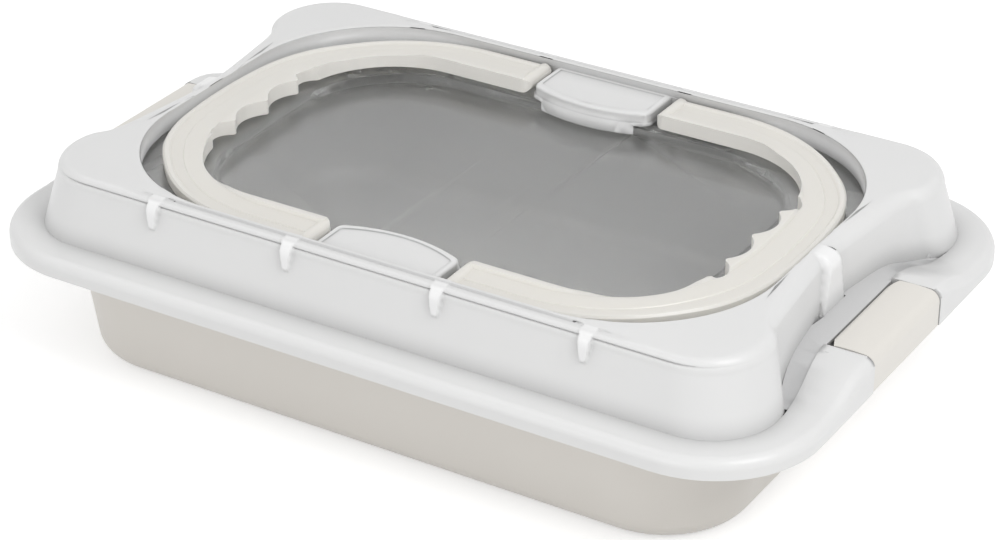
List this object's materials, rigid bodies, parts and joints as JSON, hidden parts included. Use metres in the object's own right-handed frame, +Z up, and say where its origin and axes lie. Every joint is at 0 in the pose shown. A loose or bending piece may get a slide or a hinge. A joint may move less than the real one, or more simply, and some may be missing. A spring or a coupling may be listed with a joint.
{
  "type": "cake pan with carrying lid",
  "caption": "Rectangular cake pan with a frosted carrying lid: clear window, lobed corners, fold-flat handles in a recess and latches on the short ends.",
  "frame": {"origin": "middle of the flat face that the pan stands on", "axes": "+X along the length of the pan towards one latch, +Y across it, +Z up through the lid"},
  "size_m": [0.386, 0.2548, 0.089],
  "materials": {
    "pan_coating": "satin cream coating outside, grey non-stick inside",
    "lid_plastic": "frosted translucent, with a clear window",
    "handle_plastic": "fine satin",
    "latch_plastic": "fine satin"
  },
  "bodies": {
    "pan_and_lid": {"pan": "pan_coating", "lid": "lid_plastic"},
    "left_handle_body": {"left_handle": "handle_plastic"},
    "right_handle_body": {"right_handle": "handle_plastic"},
    "left_latch_body": {"left_latch": "latch_plastic"},
    "right_latch_body": {"right_latch": "latch_plastic"}
  },
  "joints": [
    {"name": "right_handle_hinge", "type": "hinge", "parent": "pan_and_lid", "child": "right_handle_body", "pos_m": [0.0356, 0, 0.08325], "axis": [0, -1, 0], "range_deg": [0, 105]},
    {"name": "left_handle_hinge", "type": "hinge", "parent": "pan_and_lid", "child": "left_handle_body", "pos_m": [-0.0356, 0, 0.08325], "axis": [0, 1, 0], "range_deg": [0, 105]},
    {"name": "right_latch_hinge", "type": "hinge", "parent": "pan_and_lid", "child": "right_latch_body", "pos_m": [0.17425, 0, 0.0626], "axis": [0, -1, 0], "range_deg": [0, 90]},
    {"name": "left_latch_hinge", "type": "hinge", "parent": "pan_and_lid", "child": "left_latch_body", "pos_m": [-0.17425, 0, 0.0626], "axis": [0, 1, 0], "range_deg": [0, 90]}
  ]
}
